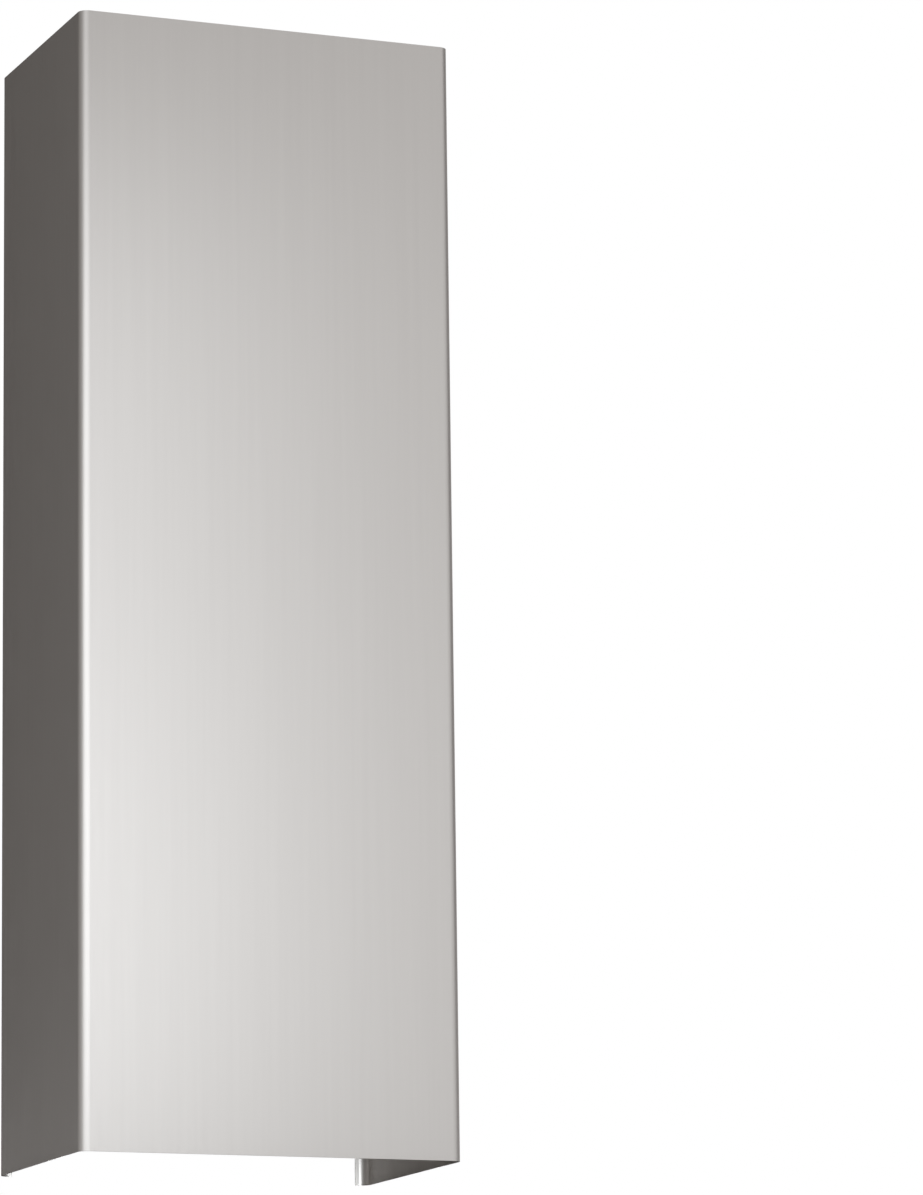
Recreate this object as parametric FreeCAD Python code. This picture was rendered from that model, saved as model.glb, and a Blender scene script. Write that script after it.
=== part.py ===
"""Cooker hood chimney section: one stainless steel sheet folded into an upright channel.

The front and both sides are flat, every fold has the same radius, and a narrow return turns in along
the wall edge of each side. The lower end, the upper end and the wall side are open, so the section
slips over the duct and over its wall brackets.

Sizes are millimetres. X runs across the front, +Y points at the wall and +Z is up. The origin is the
middle of the lower end, on the plane that the section stands on.
"""
import FreeCAD, Part
import os

# Driving dimensions
HEIGHT = 1000.0      # lower end to upper end
WIDTH = 347.0        # across the front, over the outside of both sides
DEPTH = 230.0        # front face to the plane of the wall
SHEET = 0.8          # thickness of the sheet
BEND_RADIUS = 8.0    # inside radius of every fold
RETURN_FLAT = 3.2    # flat strip of each return, from the end of its fold to its free edge

# Sizes that follow from them
OUTER_RADIUS = BEND_RADIUS + SHEET
RETURN_REACH = OUTER_RADIUS + RETURN_FLAT    # outside of a side to the free edge of its return


def strip_points(inset):
    """Both free edges and the four fold corners of the strip, seen in plan from above.

    The points lie on the surface that is `inset` below the outside of the sheet, and run from the left
    return round the front to the right return.
    """
    side = WIDTH / 2 - inset
    wall = DEPTH / 2 - inset
    free_edge = WIDTH / 2 - RETURN_REACH
    plan = [
        (-free_edge, wall),
        (-side, wall),
        (-side, -wall),
        (side, -wall),
        (side, wall),
        (free_edge, wall),
    ]
    return [FreeCAD.Vector(x, y, 0) for x, y in plan]


def folded_line(points, radius):
    """Straight runs along `points`, with a tangent arc of `radius` at each square corner."""
    edges = []
    run_start = points[0]
    for before, corner, after in zip(points, points[1:], points[2:]):
        back = (before - corner).normalize()
        ahead = (after - corner).normalize()
        arc_start = corner + back * radius
        arc_end = corner + ahead * radius
        arc_centre = corner + (back + ahead) * radius
        arc_middle = arc_centre - (back + ahead).normalize() * radius
        edges.append(Part.LineSegment(run_start, arc_start).toShape())
        edges.append(Part.Arc(arc_start, arc_middle, arc_end).toShape())
        run_start = arc_end
    edges.append(Part.LineSegment(run_start, points[-1]).toShape())
    return edges


def sheet_section():
    """The cut end of the sheet: its outside, its inside and the two free edges that join them."""
    outside = strip_points(0)
    inside = strip_points(SHEET)
    edges = folded_line(outside, OUTER_RADIUS)
    edges.append(Part.LineSegment(outside[-1], inside[-1]).toShape())
    edges.extend(folded_line(inside[::-1], BEND_RADIUS))
    edges.append(Part.LineSegment(inside[0], outside[0]).toShape())
    return Part.Face(Part.Wire(edges))


def chimney_section():
    """The folded sheet, run straight up from its lower end."""
    return sheet_section().extrude(FreeCAD.Vector(0, 0, HEIGHT))


os.makedirs("parts", exist_ok=True)
chimney_section().exportStep("parts/chimney_section.step")
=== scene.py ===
"""Looks of the cooker hood chimney section: folded steel sheet, brushed outside, as rolled inside.

Lengths are metres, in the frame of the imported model: X across the front, +Y at the wall and +Z up.
"""

import math

import bpy
from mathutils import Matrix, Vector


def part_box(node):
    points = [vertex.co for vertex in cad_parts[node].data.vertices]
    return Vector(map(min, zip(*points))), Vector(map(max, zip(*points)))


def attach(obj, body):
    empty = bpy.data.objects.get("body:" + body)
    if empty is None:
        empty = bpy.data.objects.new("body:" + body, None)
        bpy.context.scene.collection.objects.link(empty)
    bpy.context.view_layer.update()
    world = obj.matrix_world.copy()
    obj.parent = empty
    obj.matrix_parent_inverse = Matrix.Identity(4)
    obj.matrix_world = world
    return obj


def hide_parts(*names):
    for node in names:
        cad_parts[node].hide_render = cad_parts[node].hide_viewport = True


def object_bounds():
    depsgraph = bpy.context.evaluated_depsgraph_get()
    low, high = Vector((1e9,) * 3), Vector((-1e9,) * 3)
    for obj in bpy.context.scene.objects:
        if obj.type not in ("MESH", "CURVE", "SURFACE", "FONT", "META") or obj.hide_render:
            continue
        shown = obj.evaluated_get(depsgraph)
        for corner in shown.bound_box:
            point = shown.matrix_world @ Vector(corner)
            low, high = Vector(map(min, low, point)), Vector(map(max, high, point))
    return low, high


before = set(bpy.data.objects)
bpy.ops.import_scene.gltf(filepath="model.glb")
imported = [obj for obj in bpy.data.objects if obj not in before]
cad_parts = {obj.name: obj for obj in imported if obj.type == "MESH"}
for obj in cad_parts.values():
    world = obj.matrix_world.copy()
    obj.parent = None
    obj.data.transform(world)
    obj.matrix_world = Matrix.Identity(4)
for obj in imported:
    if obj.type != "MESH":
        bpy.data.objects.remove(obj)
cad_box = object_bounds()

# The sheet
NODE = "chimney_section"
SHEET = 0.0008              # thickness
BEND_RADIUS = 0.008         # inside radius of every fold
RETURN_FLAT = 0.0032        # flat strip of each return, from the end of its fold to its free edge
FOLD_STEPS = 28             # facets round one fold
OUTER_RADIUS = BEND_RADIUS + SHEET

# Cut edges, which the shears leave slightly rounded
EDGE_BREAK = 0.00012
EDGE_STEPS = 3              # facets across one rounded edge
EDGE_TURN = math.radians(40)    # only edges that turn more than this are rounded

# Material slots of the piece
BRUSHED, ROLLED, CUT = range(3)

# Finishes: colours from dark to light, roughness from glossy to dull, streaks by their width and length
BRUSHED_COLOURS = ((0.622, 0.602, 0.586, 1.0), (0.638, 0.618, 0.601, 1.0))
BRUSHED_ROUGHNESS = (0.383, 0.441)
BRUSHED_BANDS = (0.006, 0.35)
BRUSH_LINES = (0.0012, 0.04)
BRUSH_LINE_DETAIL = 4.0
BRUSH_LINE_DEPTH = 0.00005
BRUSH_LINE_STRENGTH = 0.06
BRUSH_STRETCH = 0.38        # how far reflections are drawn out across the brush lines, from 0 to 1
ROLLED_COLOURS = ((0.574, 0.553, 0.531, 1.0), (0.612, 0.588, 0.565, 1.0))
ROLLED_ROUGHNESS = (0.42, 0.48)
ROLLED_BANDS = (0.012, 0.2)
ROLLED_LINES = (0.003, 0.05)
CUT_COLOURS = ((0.56, 0.545, 0.53, 1.0), (0.66, 0.645, 0.63, 1.0))
CUT_ROUGHNESS = (0.32, 0.48)
CUT_BANDS = (0.0006, 0.004)
CUT_LINES = (0.0004, 0.002)
STREAK_DETAIL = 2.0
STREAK_ROUGHNESS = 0.6
NOISE_SPAN = (0.25, 0.75)   # most values of a noise lie between these

# Camera
LENS_MM = 170.77
CAMERA_PLACE = Vector((-1.6652, -4.6525, -0.4839))
CAMERA_YAW = math.radians(22.118)       # to the right of straight at the front
CAMERA_PITCH = math.radians(11.323)     # upwards
CAMERA_ROLL = math.radians(-0.752)

# Softbox at the front left and the brighter part of it, aimed to the right of straight back
SOFTBOX_PLACE = (-0.78, -0.89, 0.55)
SOFTBOX_SIZE = (2.08, 1.1)
SOFTBOX_RADIANCE = 0.91
SOFTBOX_AIM = math.radians(8.5)
CORE_PLACE = (-0.1, -1.1, 0.29)
CORE_SIZE = (0.76, 0.58)
CORE_RADIANCE = 0.46
CORE_AIM = math.radians(7.5)

# Lamps under the open lower end, each in the plane of one side, for its return
FOOT_LAMPS = (("foot_lamp_left", -1, 480.0), ("foot_lamp_right", 1, 300.0))    # name, side, radiance
FOOT_SIZE = (0.0006, 0.03)  # narrower than the sheet is thick
FOOT_DEPTH = 0.02           # below the lower end
FOOT_SETBACK = 0.025        # behind the front
FOOT_TILT = math.radians(9)     # upwards
FOOT_BEAM = math.radians(50)    # narrow, so that it meets the returns but not the nearby edges

# Surround, wall and floor, and the colour of every lamp
AMBIENT = 0.85              # light from all round, as diffuse surfaces get it
LAMP_COLOUR = (0.92, 0.965, 1.0)
ROUND_STEPS = 96            # sides of the round wall and of the floor
FLOOR_RADIUS = 6.0
FLOOR_FADE = (1.2, 3.0)     # the floor melts into the white surround between these distances
FLOOR_COLOUR = (0.86, 0.86, 0.86, 1.0)
WALL_RADIUS = 1.7
WALL_SPAN = (-3.0, 5.0)     # heights of its lower and its upper edge
WALL_WARMTH = (1.0, 1.045, 1.08)     # powers of a grey in red, green and blue: the darker, the warmer
WALL_GREYS = (              # grey of the wall by its bearing, in degrees from the front towards +X
    (-180, 0.04),
    (-140, 0.09),
    (-105, 0.3),
    (-75, 0.3),
    (-40, 0.98),
    (0, 0.45),
    (30, 0.73),
    (55, 0.82),
    (80, 0.06),
    (110, 0.45),
    (145, 0.65),
    (180, 0.04),
)


def add_node(tree, kind, **inputs):
    """A new node with inputs set by name, where an underscore stands for a space."""
    node = tree.nodes.new(kind)
    for name, value in inputs.items():
        node.inputs[name.replace("_", " ")].default_value = value
    return node


def add_math(tree, operation):
    node = tree.nodes.new("ShaderNodeMath")
    node.operation = operation
    return node


def new_material(name):
    """An empty node material, its tree and its output node."""
    material = bpy.data.materials.new(name)
    material.use_nodes = True
    tree = material.node_tree
    tree.nodes.clear()
    output = add_node(tree, "ShaderNodeOutputMaterial")
    return material, tree, output


def link_object(name, data):
    obj = bpy.data.objects.new(name, data)
    bpy.context.scene.collection.objects.link(obj)
    return obj


def strip_stations(low, high):
    """Places round the plan of the sheet's outside, each with its outward direction.

    They run from the free edge of the left return round the front to that of the right return.
    """
    side = (high.x - low.x) / 2
    wall = (high.y - low.y) / 2
    free_edge = side - OUTER_RADIUS - RETURN_FLAT
    to_wall = Vector((0, 1))
    stations = [(Vector((-free_edge, wall)), to_wall)]
    folds = [(-1, 1, 90), (-1, -1, 180), (1, -1, 270), (1, 1, 360)]
    for x_side, y_side, bearing in folds:
        centre = Vector((x_side * (side - OUTER_RADIUS), y_side * (wall - OUTER_RADIUS)))
        for step in range(FOLD_STEPS + 1):
            turn = math.radians(bearing + 90 * step / FOLD_STEPS)
            outward = Vector((math.cos(turn), math.sin(turn)))
            stations.append((centre + outward * OUTER_RADIUS, outward))
    stations.append((Vector((free_edge, wall)), to_wall))
    return stations


def folded_sheet():
    """The whole sheet as one closed mesh, with its outside, its inside and its cut edges told apart."""
    low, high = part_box(NODE)
    points = []     # four at each station, round the cut through the sheet
    for place, outward in strip_stations(low, high):
        inner = place - outward * SHEET
        points.append((place.x, place.y, low.z))
        points.append((place.x, place.y, high.z))
        points.append((inner.x, inner.y, high.z))
        points.append((inner.x, inner.y, low.z))
    faces = []
    finishes = []
    last = len(points) - 4
    for start in range(0, last, 4):
        for corner, finish in enumerate((BRUSHED, CUT, ROLLED, CUT)):
            beside = (corner + 1) % 4
            faces.append((start + corner, start + 4 + corner, start + 4 + beside, start + beside))
            finishes.append(finish)
    faces.append((0, 1, 2, 3))
    faces.append((last + 3, last + 2, last + 1, last))
    finishes.extend((CUT, CUT))
    mesh = bpy.data.meshes.new("folded_sheet")
    mesh.from_pydata(points, [], faces)
    for polygon, finish in zip(mesh.polygons, finishes):
        polygon.material_index = finish
        polygon.use_smooth = True
    return link_object("folded_sheet", mesh)


def break_edges(piece):
    """Rounds the cut edges a little, and keeps the flats flat beside the folds."""
    rounding = piece.modifiers.new("edge_break", "BEVEL")
    rounding.width = EDGE_BREAK
    rounding.segments = EDGE_STEPS
    rounding.limit_method = "ANGLE"
    rounding.angle_limit = EDGE_TURN
    rounding.material = CUT
    flats = piece.modifiers.new("flats", "WEIGHTED_NORMAL")
    flats.mode = "FACE_AREA"
    flats.keep_sharp = False


def streaks(tree, width, length, detail=STREAK_DETAIL):
    """Noise drawn out along Z into upright streaks of about that width and length."""
    place = add_node(tree, "ShaderNodeTexCoord")
    stretch = add_node(tree, "ShaderNodeMapping", Scale=(1 / width, 1 / width, 1 / length))
    noise = add_node(tree, "ShaderNodeTexNoise", Scale=1.0, Detail=detail, Roughness=STREAK_ROUGHNESS)
    tree.links.new(place.outputs["Object"], stretch.inputs["Vector"])
    tree.links.new(stretch.outputs["Vector"], noise.inputs["Vector"])
    return noise.outputs["Fac"]


def spread(tree, value, low, high):
    """A noise value mapped to the range from low to high."""
    ranged = add_node(tree, "ShaderNodeMapRange", To_Min=low, To_Max=high)
    ranged.inputs["From Min"].default_value = NOISE_SPAN[0]
    ranged.inputs["From Max"].default_value = NOISE_SPAN[1]
    tree.links.new(value, ranged.inputs["Value"])
    return ranged.outputs["Result"]


def tinted(tree, value, dark, light):
    """A colour between dark and light, by a value from 0 to 1."""
    mix = add_node(tree, "ShaderNodeMix")
    mix.data_type = "RGBA"
    colours = [socket for socket in mix.inputs if socket.type == "RGBA"]
    colours[0].default_value = dark
    colours[1].default_value = light
    tree.links.new(value, mix.inputs["Factor"])
    return [socket for socket in mix.outputs if socket.type == "RGBA"][0]


def bare_steel(name, colours, bands, roughness, lines):
    """A steel material whose colour goes by bands, and whose roughness goes by finer lines.

    Also gives its tree, its shader and the noise of its lines, for what a finish adds to it.
    """
    material, tree, output = new_material(name)
    steel = add_node(tree, "ShaderNodeBsdfPrincipled", Metallic=1.0)
    band = spread(tree, streaks(tree, *bands), 0.0, 1.0)
    tree.links.new(tinted(tree, band, *colours), steel.inputs["Base Color"])
    line = streaks(tree, *lines)
    tree.links.new(spread(tree, line, *roughness), steel.inputs["Roughness"])
    tree.links.new(steel.outputs["BSDF"], output.inputs["Surface"])
    return material, tree, steel, line


def brushed_outside():
    """Stainless steel brushed along its height: reflections spread sideways, across the brush lines."""
    lines = (*BRUSH_LINES, BRUSH_LINE_DETAIL)
    material, tree, steel, line = bare_steel(
        "brushed_outside", BRUSHED_COLOURS, BRUSHED_BANDS, BRUSHED_ROUGHNESS, lines)
    steel.inputs["Anisotropic"].default_value = BRUSH_STRETCH
    tangent = add_node(tree, "ShaderNodeTangent")
    tangent.direction_type = "RADIAL"
    tangent.axis = "Z"
    bump = add_node(tree, "ShaderNodeBump", Strength=BRUSH_LINE_STRENGTH, Distance=BRUSH_LINE_DEPTH)
    tree.links.new(tangent.outputs["Tangent"], steel.inputs["Tangent"])
    tree.links.new(line, bump.inputs["Height"])
    tree.links.new(bump.outputs["Normal"], steel.inputs["Normal"])
    return material


def rolled_inside():
    """The sheet's inside, as it left the rolling mill."""
    return bare_steel("rolled_inside", ROLLED_COLOURS, ROLLED_BANDS, ROLLED_ROUGHNESS, ROLLED_LINES)[0]


def cut_edge():
    """The sheared edge of the sheet, with fine marks across it."""
    return bare_steel("cut_edge", CUT_COLOURS, CUT_BANDS, CUT_ROUGHNESS, CUT_LINES)[0]


def chimney_section():
    piece = folded_sheet()
    for material in (brushed_outside(), rolled_inside(), cut_edge()):
        piece.data.materials.append(material)
    break_edges(piece)
    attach(piece, "root")
    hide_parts(NODE)


def white_surround():
    """White for the camera and for reflections, and an even light for everything else."""
    world = bpy.data.worlds.new("surround")
    bpy.context.scene.world = world
    world.use_nodes = True
    tree = world.node_tree
    tree.nodes.clear()
    path = add_node(tree, "ShaderNodeLightPath")
    shown = path.outputs["Is Camera Ray"]
    for name in ("Is Glossy Ray", "Is Transmission Ray"):
        either = add_math(tree, "MAXIMUM")
        tree.links.new(shown, either.inputs[0])
        tree.links.new(path.outputs[name], either.inputs[1])
        shown = either.outputs["Value"]
    light = add_node(tree, "ShaderNodeBackground", Color=(1, 1, 1, 1), Strength=AMBIENT)
    white = add_node(tree, "ShaderNodeBackground", Color=(1, 1, 1, 1), Strength=1.0)
    choice = add_node(tree, "ShaderNodeMixShader")
    output = add_node(tree, "ShaderNodeOutputWorld")
    tree.links.new(shown, choice.inputs["Fac"])
    tree.links.new(light.outputs["Background"], choice.inputs[1])
    tree.links.new(white.outputs["Background"], choice.inputs[2])
    tree.links.new(choice.outputs["Shader"], output.inputs["Surface"])


def soft_lamp(name, place, size, radiance, aim=0.0, tilt=0.0, beam=math.pi):
    """A rectangular lamp that only reflections show, aimed to the right of straight back and tilted up.

    A beam narrower than a half turn makes it brighter straight ahead.
    """
    width, height = size
    lamp = bpy.data.lights.new(name, "AREA")
    lamp.shape = "RECTANGLE"
    lamp.size = width
    lamp.size_y = height
    lamp.spread = beam
    lamp.color = LAMP_COLOUR
    lamp.energy = radiance * math.pi * width * height
    stand = link_object(name, lamp)
    stand.location = place
    stand.rotation_euler = (math.pi / 2 + tilt, 0, -aim)
    stand.visible_camera = False
    stand.visible_diffuse = False


def softbox():
    """A wide softbox at the front left, brighter in one part."""
    soft_lamp("softbox", SOFTBOX_PLACE, SOFTBOX_SIZE, SOFTBOX_RADIANCE, SOFTBOX_AIM)
    soft_lamp("softbox_core", CORE_PLACE, CORE_SIZE, CORE_RADIANCE, CORE_AIM)


def foot_lamps():
    """A narrow lamp under each side, in the middle of the sheet's thickness, that lights its return."""
    low, high = cad_box
    for name, x_side, radiance in FOOT_LAMPS:
        place = (x_side * (high[0] - SHEET / 2), low[1] + FOOT_SETBACK, low[2] - FOOT_DEPTH)
        soft_lamp(name, place, FOOT_SIZE, radiance, tilt=FOOT_TILT, beam=FOOT_BEAM)


def round_wall():
    """A ring of upright faces round the object."""
    points = []
    for step in range(ROUND_STEPS):
        turn = 2 * math.pi * step / ROUND_STEPS
        for z in WALL_SPAN:
            points.append((WALL_RADIUS * math.sin(turn), -WALL_RADIUS * math.cos(turn), z))
    count = len(points)
    faces = [(i, (i + 2) % count, (i + 3) % count, i + 1) for i in range(0, count, 2)]
    mesh = bpy.data.meshes.new("studio_wall")
    mesh.from_pydata(points, [], faces)
    return link_object("studio_wall", mesh)


def bearing_share(tree):
    """The bearing of a place from the front towards +X, as 0 to 1 for -180 to 180 degrees."""
    place = add_node(tree, "ShaderNodeTexCoord")
    split = add_node(tree, "ShaderNodeSeparateXYZ")
    ahead = add_math(tree, "MULTIPLY")
    ahead.inputs[1].default_value = -1.0
    bearing = add_math(tree, "ARCTAN2")
    share = add_node(tree, "ShaderNodeMapRange", From_Min=-math.pi, From_Max=math.pi)
    tree.links.new(place.outputs["Object"], split.inputs["Vector"])
    tree.links.new(split.outputs["Y"], ahead.inputs[0])
    tree.links.new(split.outputs["X"], bearing.inputs[0])
    tree.links.new(ahead.outputs["Value"], bearing.inputs[1])
    tree.links.new(bearing.outputs["Value"], share.inputs["Value"])
    return share.outputs["Result"]


def grey_wall():
    """A glow whose grey goes by the bearing."""
    material, tree, output = new_material("grey_wall")
    ramp = add_node(tree, "ShaderNodeValToRGB")
    stops = ramp.color_ramp.elements
    while len(stops) < len(WALL_GREYS):
        stops.new(0.5)      # each gets its own place below
    for stop, (degrees, grey) in zip(stops, WALL_GREYS):
        stop.position = (degrees + 180) / 360
        stop.color = [grey ** power for power in WALL_WARMTH] + [1.0]
    glow = add_node(tree, "ShaderNodeEmission", Strength=1.0)
    tree.links.new(bearing_share(tree), ramp.inputs["Fac"])
    tree.links.new(ramp.outputs["Color"], glow.inputs["Color"])
    tree.links.new(glow.outputs["Emission"], output.inputs["Surface"])
    material.cycles.emission_sampling = "NONE"
    return material


def studio_wall():
    """A round grey wall far outside the object, which only its reflections show."""
    wall = round_wall()
    wall.data.materials.append(grey_wall())
    wall.visible_camera = False
    wall.visible_diffuse = False
    wall.visible_shadow = False


def fading_floor():
    """Matt and pale from above, clear from below and far from the object."""
    material, tree, output = new_material("pale_floor")
    place = add_node(tree, "ShaderNodeTexCoord")
    distance = add_node(tree, "ShaderNodeVectorMath")
    distance.operation = "LENGTH"
    fade = add_node(tree, "ShaderNodeMapRange", From_Min=FLOOR_FADE[0], From_Max=FLOOR_FADE[1])
    fade.interpolation_type = "SMOOTHSTEP"
    side = add_node(tree, "ShaderNodeNewGeometry")
    away = add_math(tree, "MAXIMUM")
    pale = add_node(tree, "ShaderNodeBsdfDiffuse", Color=FLOOR_COLOUR)
    clear = add_node(tree, "ShaderNodeBsdfTransparent")
    choice = add_node(tree, "ShaderNodeMixShader")
    tree.links.new(place.outputs["Object"], distance.inputs[0])
    tree.links.new(distance.outputs["Value"], fade.inputs["Value"])
    tree.links.new(fade.outputs["Result"], away.inputs[0])
    tree.links.new(side.outputs["Backfacing"], away.inputs[1])
    tree.links.new(away.outputs["Value"], choice.inputs["Fac"])
    tree.links.new(pale.outputs["BSDF"], choice.inputs[1])
    tree.links.new(clear.outputs["BSDF"], choice.inputs[2])
    tree.links.new(choice.outputs["Shader"], output.inputs["Surface"])
    return material


def pale_floor():
    """A pale floor, seen from above only, that melts into the white surround."""
    bpy.ops.mesh.primitive_circle_add(vertices=ROUND_STEPS, radius=FLOOR_RADIUS, fill_type="NGON")
    floor = bpy.context.object
    floor.name = "floor"
    floor.data.materials.append(fading_floor())
    floor.visible_shadow = False


def camera():
    lens = bpy.data.cameras.new("camera")
    lens.lens = LENS_MM
    eye = link_object("camera", lens)
    turn = Matrix.Rotation(-CAMERA_YAW, 4, "Z")
    tilt = Matrix.Rotation(math.pi / 2 + CAMERA_PITCH, 4, "X")
    roll = Matrix.Rotation(CAMERA_ROLL, 4, "Z")
    eye.matrix_world = Matrix.Translation(CAMERA_PLACE) @ turn @ tilt @ roll
    bpy.context.scene.camera = eye


chimney_section()
white_surround()
softbox()
foot_lamps()
studio_wall()
pale_floor()
camera()
bpy.context.scene.view_settings.view_transform = "Standard"
